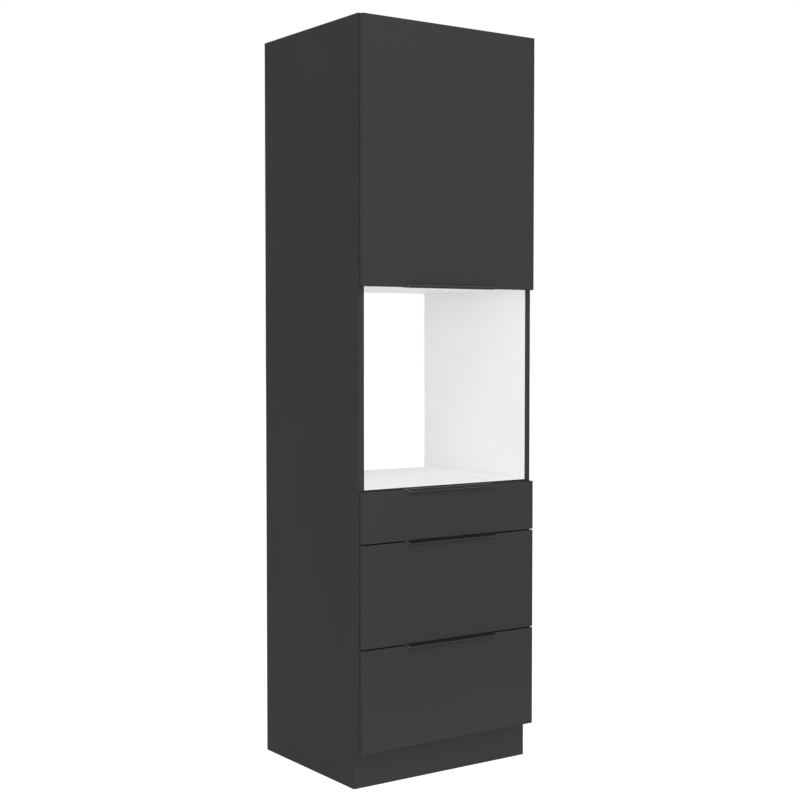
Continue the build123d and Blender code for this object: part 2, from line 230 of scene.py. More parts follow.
def coating_surface(tree, shader, smoothest, roughest):
    """Uneven gloss and pearl bump, the same on graphite and on white."""
    drift = surface_noise(tree, scale=5.0, detail=4.0)
    tree.links.new(spread(tree, drift, smoothest, roughest), shader.inputs["Roughness"])
    pearl = surface_noise(tree, scale=900.0, detail=2.0)
    set_bump(tree, shader, pearl, pearl_depth, strength=0.6)
    shader.inputs["Specular IOR Level"].default_value = coating_reflection


print("depth of the pearl in millimetres:", pearl_depth * 1000)

# %% [markdown]
# ## Raw chipboard edges
#
# The edges that nobody sees, at the back and under the sides, are left bare. Chipboard is pressed
# from flakes of wood, and a sawn edge shows them as small patches of brown. Plain noise would look
# like clouds, so a Voronoi pattern gives each flake its own brown instead. It is drawn out upwards,
# so that the flakes lie along the back edges of the tall side panels.

# %% Chipboard colour
flake_scale = 420.0
flake_stretch = (1.0, 1.0, 0.45)
dark_flake = (0.22, 0.13, 0.07, 1)
pale_flake = (0.52, 0.36, 0.21, 1)
wood_dust = (0.38, 0.25, 0.14, 1)


def chipboard_tone(tree):
    """Colour of a bare sawn chipboard edge."""
    place = add_node(tree, "TexCoord").outputs["Object"]
    stretched = add_node(tree, "Mapping", {"Vector": place, "Scale": flake_stretch}).outputs[0]
    flakes = add_node(tree, "TexVoronoi", {"Vector": stretched, "Scale": flake_scale})
    lightness = add_node(tree, "SeparateColor", {0: flakes.outputs["Color"]}).outputs[0]
    wood = mix_colours(tree, lightness, dark_flake, pale_flake)
    dust = spread(tree, surface_noise(tree, scale=160.0, detail=3.0), high=0.5)
    return mix_colours(tree, dust, wood, wood_dust)


print("one flake in millimetres:", round(1000 / flake_scale, 1))

# %% [markdown]
# ## Which face gets which colour
#
# One board can carry several finishes: graphite outside, white inside, an edge band in front and
# bare chipboard behind. Painting them by hand would need an image. It is simpler to ask, at each
# point, which way the surface faces and where it lies, and to choose the colour by that. The
# direction comes from the piece's own normal, so a door that turns keeps its colours.

# %% Masks by direction
facing_limit = 0.7
inward_limit = -0.1


def facing(tree, axis, sign):
    """1 where the surface faces along the axis (0 is X, 1 is Y, 2 is Z) in that direction."""
    normal = add_node(tree, "TexCoord").outputs["Normal"]
    part = add_node(tree, "SeparateXYZ", {0: normal}).outputs[axis]
    return calculate(tree, "GREATER_THAN", calculate(tree, "MULTIPLY", part, sign), facing_limit)


def facing_either_way(tree, axis):
    """1 where the surface faces along the axis, forwards or backwards."""
    return calculate(tree, "MAXIMUM", facing(tree, axis, -1), facing(tree, axis, 1))


def facing_middle(tree):
    """1 where the surface faces the cabinet's middle plane."""
    coordinates = add_node(tree, "TexCoord")
    normal_x = add_node(tree, "SeparateXYZ", {0: coordinates.outputs["Normal"]}).outputs[0]
    place_x = add_node(tree, "SeparateXYZ", {0: coordinates.outputs["Object"]}).outputs[0]
    return calculate(tree, "LESS_THAN", calculate(tree, "MULTIPLY", normal_x, place_x), inward_limit)


print("a face counts as turned to an axis up to", round(math.degrees(math.acos(facing_limit))), "degrees off")

# %% [markdown]
# ## Where a colour starts
#
# The edge band on the cabinet's front is less than a millimetre thick, and the white inside starts
# right behind it. A direction can't say where, so a second kind of mask asks how far back a point
# lies. The places could be typed in, but they are read from the model's boards, so that they match.

# %% Masks by place
band_thickness = 0.0008
carcass_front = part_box("left_side_panel")[0].y
inner_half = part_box("right_side_panel")[0].x
band_end = carcass_front + band_thickness


def behind(tree, y):
    """1 at points further back than y."""
    place = add_node(tree, "TexCoord").outputs["Object"]
    part = add_node(tree, "SeparateXYZ", {0: place}).outputs[1]
    return calculate(tree, "GREATER_THAN", part, y)


print("the carcass starts at y =", round(carcass_front, 5), "and is hollow to x =", round(inner_half, 5))

# %% [markdown]
# ## Side panels
#
# The side panels are graphite outside and in front, and white on the inner face, which starts
# behind the edge band. Their back and lower edges are bare. Three masks choose between the three
# colours, so one material serves both panels, though their inner faces look in opposite directions.

# %% Side panel material
side_board, tree, shader = start_finish("graphite_and_white_board", roughness=0.5)
inner_white = calculate(tree, "MULTIPLY", facing_middle(tree), behind(tree, band_end))
graphite = coating_tone(tree, graphite_level)
white = coating_tone(tree, white_level)
coated = mix_colours(tree, inner_white, graphite, white)
bare = calculate(tree, "MAXIMUM", facing(tree, 1, 1), facing(tree, 2, -1))
panel_colour = mix_colours(tree, bare, coated, chipboard_tone(tree))
tree.links.new(panel_colour, shader.inputs["Base Color"])
coating_surface(tree, shader, smoothest=0.46, roughest=0.54)
print("nodes in the side panels' material:", len(tree.nodes))

# %% [markdown]
# ## Boards between the sides
#
# These boards are white, with a graphite edge where they come to the cabinet's front. Shelf and rail
# lie further back, so the same rule leaves them white, but the shelf's front edge is painted pale grey
# as painted shade, because pure white there would burn out in the front lamp. Only the top board is
# graphite above as well. One function makes both materials, as they differ in that face alone.

# %% Cross board materials
shelf_edge_shade_level = 208
middle_y = 0.0


def white_board_material(name, graphite_top):
    """White board with a graphite edge at the cabinet's front and a bare back edge."""
    material, tree, shader = start_finish(name, roughness=0.5)
    to_front = facing(tree, 1, -1)
    dark = calculate(tree, "MULTIPLY", to_front, opposite(tree, behind(tree, band_end)))
    if graphite_top:
        dark = calculate(tree, "MAXIMUM", dark, facing(tree, 2, 1))
    in_front_half = opposite(tree, behind(tree, middle_y))
    shelf_edge = calculate(tree, "MULTIPLY", to_front, in_front_half)
    white = coating_tone(tree, white_level)
    # Painted shade: the shelf's front edge is painted pale grey so that it does not burn out in the front
    # lamp.
    pale = mix_colours(tree, shelf_edge, white, coating_tone(tree, shelf_edge_shade_level))
    coated = mix_colours(tree, dark, pale, coating_tone(tree, graphite_level))
    board_colour = mix_colours(tree, facing(tree, 1, 1), coated, chipboard_tone(tree))
    tree.links.new(board_colour, shader.inputs["Base Color"])
    coating_surface(tree, shader, smoothest=0.46, roughest=0.54)
    return material


cross_board = white_board_material("white_board", graphite_top=False)
top_board = white_board_material("white_board_graphite_top", graphite_top=True)
print("the graphite edge ends at y =", round(band_end, 5), "and the shelf's band has level", shelf_edge_shade_level)

# %% [markdown]
# ## Fronts and plinth
#
# The fronts are graphite on both faces and closed with plastic band on all four edges. The upright
# edges are painted a shade lighter than the face, as painted light, and the long edges, where the
# pulls hang, are painted black, as painted shade that keeps the gaps between fronts dark. Less light
# would darken the gaps too, but also the faces.

# %% Front and plinth material
upright_painted_light_level = graphite_level + 6
long_painted_shade_level = 28
front_board, tree, shader = start_finish("graphite_board", roughness=0.5)
# Painted light on the upright edges and painted shade on the long edges that lie in the gaps.
upright_painted_light_tone = coating_tone(tree, upright_painted_light_level)
face = coating_tone(tree, graphite_level)
long_painted_shade_tone = coating_tone(tree, long_painted_shade_level)
face_and_uprights = mix_colours(tree, facing_either_way(tree, 1), upright_painted_light_tone, face)
front_colour = mix_colours(tree, facing_either_way(tree, 2), face_and_uprights, long_painted_shade_tone)
tree.links.new(front_colour, shader.inputs["Base Color"])
coating_surface(tree, shader, smoothest=0.44, roughest=0.51)
print("edge bands of the fronts, upright and long:", upright_painted_light_level, long_painted_shade_level)

# %% [markdown]
# ## Drawer boards
#
# The drawer boards have the same coating, bare at the back. They could share the cabinet's white, but
# drawer boxes often come from another board, so theirs is slightly duller and warmer.

# %% Drawer board material
drawer_board_level = white_level - 3
drawer_board, tree, shader = start_finish("white_drawer_board", roughness=0.5)
plain = coating_tone(tree, drawer_board_level, warmth=0.6)
drawer_colour = mix_colours(tree, facing(tree, 1, 1), plain, chipboard_tone(tree))
tree.links.new(drawer_colour, shader.inputs["Base Color"])
coating_surface(tree, shader, smoothest=0.48, roughest=0.56)
print("drawer boards have level", drawer_board_level, "and cabinet boards", white_level)

# %% [markdown]
# ## Hardboard backs and drawer bottoms
#
# These are three millimetres of pressed wood fibre, painted white on the side that shows and left
# brown on the other, where the press leaves the print of a fine wire screen. The print is too
# shallow to model, so two wave patterns crossed at right angles draw it in the bump of the brown side.

# %% Hardboard material
hardboard_level = white_level - 4
screen_scale = 180.0
dark_fibre = (0.13, 0.065, 0.03, 1)
pale_fibre = (0.24, 0.13, 0.065, 1)


def screen_wires(tree, direction):
    """Waves across one direction, as one set of the screen's wires."""
    place = add_node(tree, "TexCoord").outputs["Object"]
    inputs = {"Vector": place, "Scale": screen_scale}
    return add_node(tree, "TexWave", inputs, bands_direction=direction).outputs[1]


def hardboard_material(name, painted_axis, painted_sign, upright):
    """Hardboard, white on the face that looks along the given axis and brown behind."""
    material, tree, shader = start_finish(name, roughness=0.6)
    fibres = spread(tree, surface_noise(tree, scale=300.0, detail=4.0))
    brown = mix_colours(tree, fibres, dark_fibre, pale_fibre)
    paint = coating_tone(tree, hardboard_level, warmth=0.8)
    painted = facing(tree, painted_axis, painted_sign)
    tree.links.new(mix_colours(tree, painted, brown, paint), shader.inputs["Base Color"])
    tree.links.new(spread(tree, fibres, low=0.5, high=0.75), shader.inputs["Roughness"])
    other_direction = "Z" if upright else "Y"
    screen = calculate(tree, "MULTIPLY", screen_wires(tree, "X"), screen_wires(tree, other_direction))
    screen_print = calculate(tree, "MULTIPLY", screen, opposite(tree, painted))
    set_bump(tree, shader, screen_print, depth=0.0002, strength=0.8)
    return material


back_hardboard = hardboard_material("hardboard_back", 1, -1, upright=True)
bottom_hardboard = hardboard_material("hardboard_drawer_bottom", 2, 1, upright=False)
print("made the hardboard:", back_hardboard.name, bottom_hardboard.name)

# %% [markdown]
# ## Black pulls
#
# The pulls are drawn aluminium, anodised black and then cut to length, so the long faces are satin
# black with fine lines along the draw, and the sawn ends stay bright. The thin tip of the lip gets a
# painted highlight, a fine light line. The lines could come from an image, but a noise that is
# stretched far along X stays sharp at any distance. Ends and tip are found by their direction, as the
# board edges were.

# %% Pull material
film_levels = (30, 38)
film_reflection = 0.1
tip_highlight_level = 112
tip_highlight_share = 0.5
sawn_levels = (150, 176)
black_pull, tree, shader = start_finish("black_anodised_aluminium", roughness=0.4, metallic=0.3)
draw_lines = surface_noise(tree, scale=900.0, detail=3.0, stretch=(0.004, 1, 1))
film = mix_colours(tree, spread(tree, draw_lines), grey(film_levels[0]), grey(film_levels[1]))
# Painted highlight: the front-facing tip is mixed half way to a light grey.
tip_highlight_mask = calculate(tree, "MULTIPLY", facing(tree, 1, -1), tip_highlight_share)
film_and_tip_highlight = mix_colours(tree, tip_highlight_mask, film, grey(tip_highlight_level))
saw_marks = spread(tree, surface_noise(tree, scale=2600.0, detail=2.0))
sawn = mix_colours(tree, saw_marks, grey(sawn_levels[0]), grey(sawn_levels[1]))
pull_colour = mix_colours(tree, facing_either_way(tree, 0), film_and_tip_highlight, sawn)
tree.links.new(pull_colour, shader.inputs["Base Color"])
tree.links.new(spread(tree, draw_lines, low=0.36, high=0.48), shader.inputs["Roughness"])
shader.inputs["Specular IOR Level"].default_value = film_reflection
set_bump(tree, shader, draw_lines, depth=0.00003, strength=0.5)
print("nodes in the pulls' material:", len(tree.nodes))

# %% [markdown]
# ## Plated steel
#
# The slides are rolled from zinc-plated strip and the hinges are pressed and nickel-plated. Both are
# mirrors blurred by fine scratches, zinc cooler and duller than nickel. The rolling lines run along
# the slide, and the hinges only have a cloudy gloss, so one function makes all the steels and its
# stretch decides how far the lines are drawn out.

# %% Steel materials
def steel_material(name, dark, light, warmth, smoothest, roughest, stretch=(1, 1, 1)):
    """Plated steel with scratches, which the stretch draws out along the piece."""
    material, tree, shader = start_finish(name, roughness=smoothest, metallic=1.0)
    lines = surface_noise(tree, scale=700.0, detail=3.0, stretch=stretch)
    cloud = surface_noise(tree, scale=30.0, detail=3.0)
    line_share = spread(tree, lines)
    cloud_share = spread(tree, cloud, low=0.4)
    share = calculate(tree, "MULTIPLY", line_share, cloud_share)
    steel_colour = mix_colours(tree, share, grey(dark, warmth), grey(light, warmth))
    tree.links.new(steel_colour, shader.inputs["Base Color"])
    tree.links.new(spread(tree, cloud, smoothest, roughest), shader.inputs["Roughness"])
    set_bump(tree, shader, lines, depth=0.00002, strength=0.5)
    return material


zinc_steel = steel_material("zinc_plated_steel", dark=172, light=200, warmth=-2.5,
                            smoothest=0.28, roughest=0.42, stretch=(1, 0.01, 1))
nickel_steel = steel_material("nickel_plated_steel", dark=186, light=208, warmth=2.5,
                              smoothest=0.22, roughest=0.34)
ball_steel = steel_material("hardened_ball_steel", dark=200, light=222, warmth=0.0,
                            smoothest=0.06, roughest=0.14)
print("made the steels:", zinc_steel.name, nickel_steel.name, ball_steel.name)

# %% [markdown]
# ## Plastic parts
#
# The clear bumpers on the door and the white caps are moulded plastic, which has a very fine grain
# and hardly any drift in tone. The bumpers let light through, which is one more input of the same
# shader. The black lacquer on the pulls' screws and the painted shade inside a hole could have
# functions of their own, but at their size this one does for both.

# %% Plastic materials
plastic_sway = 5
grain_sway = 0.06


def plastic_material(name, level, roughness, see_through=0.0):
    """Moulded plastic with a faint grain. see_through lets light into clear bumpers."""
    material, tree, shader = start_finish(name, roughness)
    tone = spread(tree, surface_noise(tree, scale=120.0, detail=3.0))
    plastic_colour = mix_colours(tree, tone, grey(level - plastic_sway), grey(level + plastic_sway))
    tree.links.new(plastic_colour, shader.inputs["Base Color"])
    grain = surface_noise(tree, scale=1800.0, detail=1.0)
    grain_gloss = spread(tree, grain, roughness - grain_sway, roughness + grain_sway)
    tree.links.new(grain_gloss, shader.inputs["Roughness"])
    set_bump(tree, shader, grain, depth=0.00003, strength=0.5)
    shader.inputs["Transmission Weight"].default_value = see_through
    return material


clear_bumper = plastic_material("clear_bumper_plastic", level=225, roughness=0.25, see_through=0.6)
white_plastic = plastic_material("white_plastic", level=236, roughness=0.4)
black_plastic = plastic_material("black_plastic", level=30, roughness=0.45)
# Painted shade: a dark grey that stands in for the shade inside a drilled hole.
hole_painted_shade = plastic_material("painted_shade_inside_a_hole", level=34, roughness=0.8)
print("materials so far:", len(bpy.data.materials))

# %% [markdown]
# ## Dressing the model's own pieces
#
# The boards, slides and hinges already have their true shapes, so they only need their finishes. A
# name says what a piece is, so the finish is chosen by name, and a new drawer would be dressed
# without another line.

# %% Choose the finish of each piece
side_board_names = ("left_side_panel", "right_side_panel")
cross_board_names = ("niche_ceiling_panel", "niche_floor_panel", "bottom_panel", "adjustable_shelf",
                     "wall_fixing_rail")


def material_for(name):
    """The finish of one piece of the model, from its name."""
    if name in side_board_names:
        return side_board
    if name == "top_panel":
        return top_board
    if name in cross_board_names:
        return cross_board
    if name in ("plinth_board", "door_panel") or name.endswith("_front"):
        return front_board
    if name.endswith("back_panel"):
        return back_hardboard
    if name.endswith("drawer_bottom"):
        return bottom_hardboard
    if name.endswith("_side") or name.endswith("drawer_back"):
        return drawer_board
    if name.endswith("_handle"):
        return black_pull
    if name.endswith("_slide"):
        return zinc_steel
    if name == "door_bumpers":
        return clear_bumper
    return nickel_steel


print("the door is made of", material_for("door_panel").name)

# %% [markdown]
# ## Soft edges
#
# A sharp computer edge never catches the light, and a real one always does. The fronts have their
# round edges in the model already. On the other boards and the pulls a Bevel modifier rounds each
# edge by a few tenths of a millimetre, without touching the model's own mesh.

# %% Dress the pieces and soften their edges
board_edge_radius = 0.0004
pull_edge_radius = 0.00025
sharp_angle = math.radians(40)


def soften_edges(piece, radius):
    """Rounds the sharp edges of a piece when it is drawn."""
    bevel = piece.modifiers.new("soft_edges", "BEVEL")
    bevel.width = radius
    bevel.segments = 2
    bevel.limit_method = "ANGLE"
    bevel.angle_limit = sharp_angle
    bevel.harden_normals = False


for name, piece in nodes.items():
    finish = material_for(name)
    piece.data.materials.clear()
    piece.data.materials.append(finish)
    if finish in (side_board, top_board, cross_board, drawer_board):
        soften_edges(piece, board_edge_radius)
    elif finish is black_pull:
        soften_edges(piece, pull_edge_radius)
print("dressed", len(nodes), "pieces")

# %% [markdown]
# ## Turning small fittings
#
# Screws and cams are round. They could be cut from ready-made cylinders, but a turned profile gives
# their rims and domes as well: a few points are spun about an axis, the way a lathe cuts metal.

# %% Turn a profile
turn_steps = 28


def turned(profile):
    """A closed round mesh from (radius, height) points, spun about Z."""
    shape = bmesh.new()
    rings = []
    for radius, height in profile:
        count = turn_steps if radius > 0 else 1
        turns = [2 * math.pi * step / turn_steps for step in range(count)]
        points = [(radius * math.cos(turn), radius * math.sin(turn), height) for turn in turns]
        rings.append([shape.verts.new(point) for point in points])
    for low, high in zip(rings, rings[1:]):
        for step in range(turn_steps):
            after = (step + 1) % turn_steps
            lower_corners = [low[step % len(low)], low[after % len(low)]]
            upper_corners = [high[after % len(high)], high[step % len(high)]]
            unique = list(dict.fromkeys(lower_corners + upper_corners))
            if len(unique) > 2:
                shape.faces.new(unique)
    bmesh.ops.recalc_face_normals(shape, faces=shape.faces)
    return shape


def finished_mesh(shape, name, smooth=True):
    """Turns a bmesh into a mesh and frees it."""
    mesh = bpy.data.meshes.new(name)
    shape.to_mesh(mesh)
    shape.free()
    for face in mesh.polygons:
        face.use_smooth = smooth
    return mesh


print("degrees between two steps of a turned fitting:", round(360 / turn_steps, 1))

# %% [markdown]
# ## Screw heads with a real recess
#
# A screw has a cross recess for the driver. A painted cross would not catch light, so the recess is
# real: two crossed bars are taken away from the head with a Boolean modifier. The cut mesh is then
# kept, and the bars are thrown away.

# %% Cut a cross recess
bar_turns = (0, math.pi / 2)


def cut_cross(mesh, width, length, depth, top):
    """Cuts a cross recess into the top of a screw or cam, with a Boolean modifier."""
    cutter = bmesh.new()
    for angle in bar_turns:
        made = bmesh.ops.create_cube(cutter, size=1)
        size = Matrix.Diagonal((length, width, depth, 1))
        place = Matrix.Translation((0, 0, top)) @ Matrix.Rotation(angle, 4, "Z") @ size
        bmesh.ops.transform(cutter, matrix=place, verts=made["verts"])
    cutter_mesh = finished_mesh(cutter, "cross_cutter", smooth=False)
    cutter_piece = bpy.data.objects.new("cross_cutter", cutter_mesh)
    piece = bpy.data.objects.new("crossed", mesh)
    for thing in (cutter_piece, piece):
        bpy.context.scene.collection.objects.link(thing)
    boolean = piece.modifiers.new("cross", "BOOLEAN")
    boolean.object = cutter_piece
    boolean.operation = "DIFFERENCE"
    boolean.use_self = True
    bpy.context.view_layer.update()
    cut_piece = piece.evaluated_get(bpy.context.evaluated_depsgraph_get())
    result = bpy.data.meshes.new_from_object(cut_piece)
    for thing in (cutter_piece, piece):
        bpy.data.objects.remove(thing)
    return result


print("bars that cut one recess:", len(bar_turns))

# %% [markdown]
# ## Pan heads
#
# The screws of the hinges have domed heads, known as pan heads. A flattened sphere could make the
# dome, but it would lack the short upright rim. So the profile has that rim and a quarter of an
# ellipse above it, which is steep at the rim and flat on top.

# %% Pan head of the hinge screws
def pan_head(radius, height):
    """Domed screw head with a cross recess, standing on the plane z = 0."""
    steps = 6
    rim_share = 0.35
    dome = [(radius, 0.0), (radius, height * rim_share)]
    for step in range(1, steps):
        lean = math.pi / 2 * step / steps
        rise = rim_share + (1 - rim_share) * math.sin(lean)
        dome.append((radius * math.cos(lean), height * rise))
    dome.append((0, height))
    mesh = finished_mesh(turned([(0, 0.0)] + dome), "pan_head")
    return cut_cross(mesh, width=radius * 0.26, length=radius * 1.15, depth=height * 1.1, top=height)


hinge_screw = pan_head(radius=0.0032, height=0.0019)
print("faces in a hinge screw:", len(hinge_screw.polygons))

# %% [markdown]
# ## Flat heads and cams
#
# The screws of pulls and slides have flat heads, because another part lies or passes close over
# them. A cam is a wide disc that draws two boards together when it is turned. Both could be plain
# cylinders, but they are made like the pan head, from a profile of a few points and the same cross,
# because a chamfer or a rim is what catches the light.

# %% Flat heads and cams
def flat_head(radius, height):
    """Flat head with a chamfered rim and a cross recess."""
    rim = height * 0.4
    outline = [(0, 0.0), (radius, 0.0), (radius, height - rim), (radius - rim, height), (0, height)]
    mesh = finished_mesh(turned(outline), "flat_head")
    return cut_cross(mesh, width=radius * 0.24, length=radius * 1.1, depth=height * 1.2, top=height)


def cam_disc(radius, height):
    """Cam with a raised rim and a wide cross recess."""
    rim = radius * 0.86
    floor_height = height * 0.55
    outline = [(0, 0.0), (radius, 0.0), (radius, height), (rim, height), (rim, floor_height),
               (0, floor_height)]
    mesh = finished_mesh(turned(outline), "cam_disc")
    return cut_cross(mesh, width=radius * 0.2, length=radius * 1.2, depth=height * 0.8, top=floor_height)


pull_screw = flat_head(radius=0.0030, height=0.00025)
slide_screw = flat_head(radius=0.0034, height=0.0009)
board_cam = cam_disc(radius=0.0075, height=0.0005)
print("faces in a flat head and a cam:", len(slide_screw.polygons), len(board_cam.polygons))

# %% [markdown]
# ## Copying a fitting to its places
#
# A cabinet has the same screw in many places. Each could be an object of its own, but a group that
# belongs to one part is simpler to keep together. So the copies are joined into one piece, and the
# whole piece rides on the part that carries it. Its edges are split where they are sharp, so that
# flat faces stay flat in the shading.

# %% Copy and aim fittings
split_angle = math.radians(35)


def fit_copies(name, mesh, places, body, material):
    """One piece made of copies of a fitting at several places, riding on a body."""
    shape = bmesh.new()
    for place in places:
        first = len(shape.verts)
        shape.from_mesh(mesh)
        shape.verts.ensure_lookup_table()
        bmesh.ops.transform(shape, matrix=place, verts=shape.verts[first:])
    joined = bpy.data.meshes.new(name)
    shape.to_mesh(joined)
    shape.free()
    joined.materials.append(material)
    piece = bpy.data.objects.new(name, joined)
    bpy.context.scene.collection.objects.link(piece)
    smooth = piece.modifiers.new("smooth_by_angle", "EDGE_SPLIT")
    smooth.split_angle = split_angle
    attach(piece, body)


def pointing(place, direction):
    """A matrix that puts a fitting at a place with its head along a direction."""
    turn = Vector(direction).to_track_quat("Z", "Y").to_matrix().to_4x4()
    return Matrix.Translation(place) @ turn


print("a head that points along X starts along", list(pointing((0, 0, 0), (1, 0, 0)).col[2][:3]))

# %% [markdown]
# ## Hinge screws
#
# Two screws go through each hinge's mounting plate and two through its cup's flange, and two more
# adjust the arm. They could be placed by eye, but their places come from the boxes of the pieces that
# they sit on, so they stay right if the hinge is moved in the model.

# %% Fit the hinge screws
plate_wing_behind = 0.009
plate_screw_half = 0.016
plate_wing_thickness = 0.002
flange_screw_half = 0.0225
flange_screw_inset = 0.0055
flange_thickness = 0.0012
arm_screw_ends = (0.008, 0.036)

for place in ("upper", "lower"):
    low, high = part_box(f"{place}_hinge_plate")
    wing_y = low.y + plate_wing_behind
    wing_x = high.x - plate_wing_thickness
    middle_z = (low.z + high.z) / 2
    heights = (middle_z - plate_screw_half, middle_z + plate_screw_half)
    heads = [pointing((wing_x, wing_y, z), (-1, 0, 0)) for z in heights]
    fit_copies(f"{place}_hinge_plate_screws", hinge_screw, heads, "carcass", nickel_steel)

    low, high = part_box(f"{place}_hinge_cup")
    flange_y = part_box("door_panel")[1].y + flange_thickness
    flange_x = low.x + flange_screw_inset
    heights = (middle_z - flange_screw_half, middle_z + flange_screw_half)
    heads = [pointing((flange_x, flange_y, z), (0, 1, 0)) for z in heights]
    fit_copies(f"{place}_hinge_cup_screws", hinge_screw, heads, "door", nickel_steel)

    low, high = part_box(f"{place}_hinge_arm")
    heads = [pointing((low.x, high.y - back, middle_z), (-1, 0, 0)) for back in arm_screw_ends]
    fit_copies(f"{place}_hinge_arm_screws", hinge_screw, heads, "carcass", nickel_steel)
    print("fitted the screws of the", place, "hinge at height", round(middle_z, 3))

# %% [markdown]
# ## Screws in the pulls
#
# A pull's flange lies in the two millimetres between front and carcass. Pan heads would look nicer,
# but they would touch the carcass when the front is closed, so the three screws are sunk almost flush.

# %% Fit the pull screws
pull_names = ("door_handle", "lower_drawer_handle", "middle_drawer_handle", "upper_drawer_handle")
pull_screw_spacing = 0.128
pull_row_offset = 0.0135
for name in pull_names:
    low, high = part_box(name)
    on_door = name == "door_handle"
    row_z = low.z + pull_row_offset if on_door else high.z - pull_row_offset
    heads = [pointing((k * pull_screw_spacing, high.y, row_z), (0, 1, 0)) for k in (-1, 0, 1)]
    body = "door" if on_door else name.removesuffix("_handle")
    fit_copies(name + "_screws", pull_screw, heads, body, black_plastic)
print("fitted the screws of", len(pull_names), "pulls")

# %% [markdown]
# ## Screws in the slides
#
# A slide's screws sit inside its channel, where the next member passes over them, so their heads are
# flat as well. The right side could mirror the left, but each member's own box gives the place.

# %% Fit the slide screws
drawer_places = ("lower", "middle", "upper")
hands = (("left", -1), ("right", 1))
slide_steel = 0.0012
slot_inset = 0.035
for place in drawer_places:
    for hand_name, hand in hands:
        low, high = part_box(f"{place}_drawer_{hand_name}_outer_slide")
        wall_x = (high.x if hand > 0 else low.x) - hand * slide_steel
        middle_z = (low.z + high.z) / 2
        ends = (low.y + slot_inset, high.y - slot_inset)
        heads = [pointing((wall_x, y, middle_z), (-hand, 0, 0)) for y in ends]
        fit_copies(f"{place}_{hand_name}_outer_slide_screws", slide_screw, heads, "carcass",
                   zinc_steel)
        low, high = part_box(f"{place}_drawer_{hand_name}_inner_slide")
        web_x = (low.x if hand > 0 else high.x) + hand * slide_steel
        heads = [pointing((web_x, y, middle_z), (hand, 0, 0)) for y in ends]
        fit_copies(f"{place}_{hand_name}_inner_slide_screws", slide_screw, heads, f"{place}_drawer",
                   zinc_steel)
print("fitted the screws of", len(drawer_places) * len(hands), "slides")

# %% [markdown]
# ## Balls and ball cages
#
# Between each two members of a slide run two rows of steel balls, kept apart by a thin bent cage.
# The cage is a bent strip like a staple, so its outline is drawn once and pushed along the slide. The
# balls are ready-made spheres of few faces, because there are hundreds of them and each is tiny.

# %% Cage and ball shapes
cage_thickness = 0.0005


def ball_mesh(radius):
    """A small steel ball."""
    shape = bmesh.new()
    bmesh.ops.create_icosphere(shape, subdivisions=2, radius=radius)
    return finished_mesh(shape, "slide_ball")


def cage_mesh(web, tip, half_height, hand, length):
    """Bent strip: a web beside the member with a leg over and a leg under it."""
    inner_web = web + cage_thickness
    inner_half_height = half_height - cage_thickness
    outline = [(tip, half_height), (web, half_height), (web, -half_height), (tip, -half_height)]
    inner = [(tip, -inner_half_height), (inner_web, -inner_half_height),
             (inner_web, inner_half_height), (tip, inner_half_height)]
    corners = outline + inner
    shape = bmesh.new()
    rings = []
    for y in (0, length):
        rings.append([shape.verts.new((-hand * from_panel, y, z)) for from_panel, z in corners])
    for k in range(len(corners)):
        after = (k + 1) % len(corners)
        shape.faces.new((rings[0][k], rings[0][after], rings[1][after], rings[1][k]))
    for ring in rings:
        shape.faces.new(ring)
    bmesh.ops.recalc_face_normals(shape, faces=shape.faces)
    return finished_mesh(shape, "ball_cage", smooth=False)


print("cage thickness in millimetres:", cage_thickness * 1000)

# %% [markdown]
# ## Two kinds of cage
#
# The cage between outer and middle member is taller and has larger balls than the one between middle
# and inner member. Each kind keeps its sizes together, so that one loop can fit both. The web is the
# strip's upright wall and the tip is the end of its legs, both measured from the side panel.

# %% Sizes of the two kinds of cage
cage_length = 0.19
cage_from_end = 0.012
cage_over_balls = 0.00025
ball_pitch = 0.0112
first_ball = 0.008
last_ball_margin = 0.01
ball_count = int((cage_length - last_ball_margin) / ball_pitch)
outer_cage = {"name": "outer", "at_rear": True, "web": 0.00155, "tip": 0.0078,
              "ball_height": 0.01915, "ball_radius": 0.00205, "ball_from_panel": 0.0054}
inner_cage = {"name": "inner", "at_rear": False, "web": 0.0041, "tip": 0.0100,
              "ball_height": 0.0143, "ball_radius": 0.0014, "ball_from_panel": 0.0080}
cages = (outer_cage, inner_cage)
row_sides = (-1, 1)
print("balls in each row:", ball_count)

# %% [markdown]
# ## Cages in their places
#
# The outer cage sits at the rear of the middle member and the inner one at its front, where the
# members still overlap when the drawer is out. A real cage travels at the mean speed of the two
# members it runs between. Here both simply ride on the middle member, which is only near the truth.

# %% Fit balls and cages
for place in drawer_places:
    for hand_name, hand in hands:
        low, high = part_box(f"{place}_drawer_{hand_name}_middle_slide")
        panel_x = hand * inner_half
        middle_z = (low.z + high.z) / 2
        body = f"{place}_drawer_middle_slides"
        for cage in cages:
            group = f"{place}_{hand_name}_{cage['name']}"
            start_y = low.y + cage_from_end
            if cage["at_rear"]:
                start_y = high.y - cage_length - cage_from_end
            half_height = cage["ball_height"] + cage_over_balls
            bent = cage_mesh(cage["web"], cage["tip"], half_height, hand, cage_length)
            cage_places = [Matrix.Translation((panel_x, start_y, middle_z))]
            fit_copies(f"{group}_ball_cage", bent, cage_places, body, zinc_steel)
            ball_x = panel_x - hand * cage["ball_from_panel"]
            ball_places = []
            for k in range(ball_count):
                ball_y = start_y + first_ball + k * ball_pitch
                for side in row_sides:
                    ball_z = middle_z + side * cage["ball_height"]
                    ball_places.append(Matrix.Translation((ball_x, ball_y, ball_z)))
            ball = ball_mesh(cage["ball_radius"])
            fit_copies(f"{group}_balls", ball, ball_places, body, ball_steel)
row_count = len(drawer_places) * len(hands) * len(cages) * len(row_sides)
print("balls in all:", row_count * ball_count)

